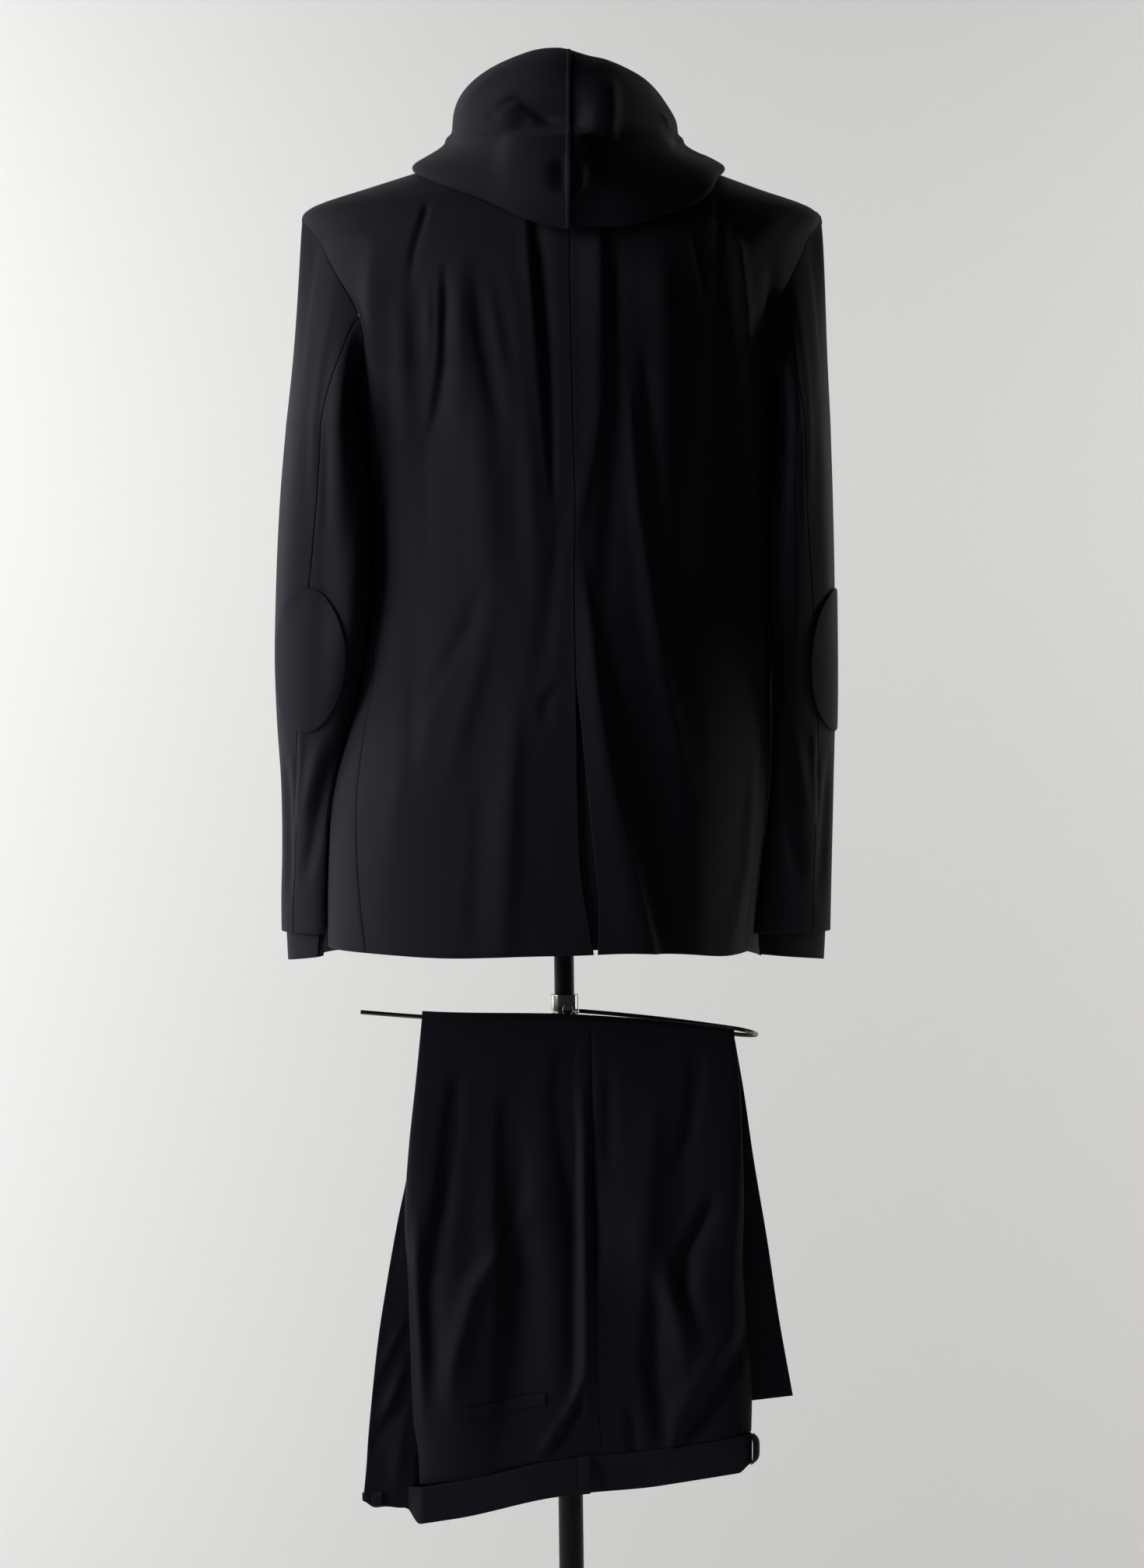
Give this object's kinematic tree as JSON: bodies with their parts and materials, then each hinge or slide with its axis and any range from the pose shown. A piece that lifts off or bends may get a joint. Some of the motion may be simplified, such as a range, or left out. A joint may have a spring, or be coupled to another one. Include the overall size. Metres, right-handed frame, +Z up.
{
  "type": "business suit on a dress form stand",
  "caption": "Hooded business suit on a limbless dress form: a jacket with elbow patches and a back vent, trousers folded over the stand's side bar, and a flat round base.",
  "frame": {"origin": "on the floor under the middle of the pole, in the middle of the base's flat underside", "axes": "+Z up; -Y the way the jacket's front faces; +X the wearer's left"},
  "size_m": [0.5232, 0.37, 1.6353],
  "materials": {
    "suit_cloth": "plain woven stretch cloth, matte with a soft sheen",
    "button": "satin",
    "form_jersey": "stretched jersey, matte",
    "black_lacquer": "semi-gloss",
    "grey_lacquer": "semi-gloss",
    "chrome": "polished",
    "bar_steel": "brushed, slightly browned"
  },
  "bodies": {
    "root": {"back_left": "suit_cloth", "back_right": "suit_cloth", "vent_underlap": "suit_cloth", "side_left": "suit_cloth", "side_right": "suit_cloth", "front_left": "suit_cloth", "front_right": "suit_cloth", "lapel_left": "suit_cloth", "lapel_right": "suit_cloth", "sleeve_top_left": "suit_cloth", "sleeve_under_left": "suit_cloth", "sleeve_top_right": "suit_cloth", "sleeve_under_right": "suit_cloth", "inner_cuff_left": "suit_cloth", "inner_cuff_right": "suit_cloth", "elbow_patch_left": "suit_cloth", "elbow_patch_right": "suit_cloth", "hood_left": "suit_cloth", "hood_right": "suit_cloth", "hood_seam_welt": "suit_cloth", "trouser_front_left": "suit_cloth", "trouser_back_left": "suit_cloth", "trouser_front_right": "suit_cloth", "trouser_back_right": "suit_cloth", "waistband": "suit_cloth", "belt_loop_centre": "suit_cloth", "belt_loop_right": "suit_cloth", "belt_loop_left": "suit_cloth", "back_pocket_welt": "suit_cloth", "button_1": "button", "button_2": "button", "dress_form": "form_jersey", "form_flange": "black_lacquer", "stand_pole": "black_lacquer", "clamp_collar": "chrome", "thumb_screw": "chrome", "stand_tube": "grey_lacquer", "stand_base": "black_lacquer", "trouser_bar": "bar_steel"}
  },
  "joints": []
}
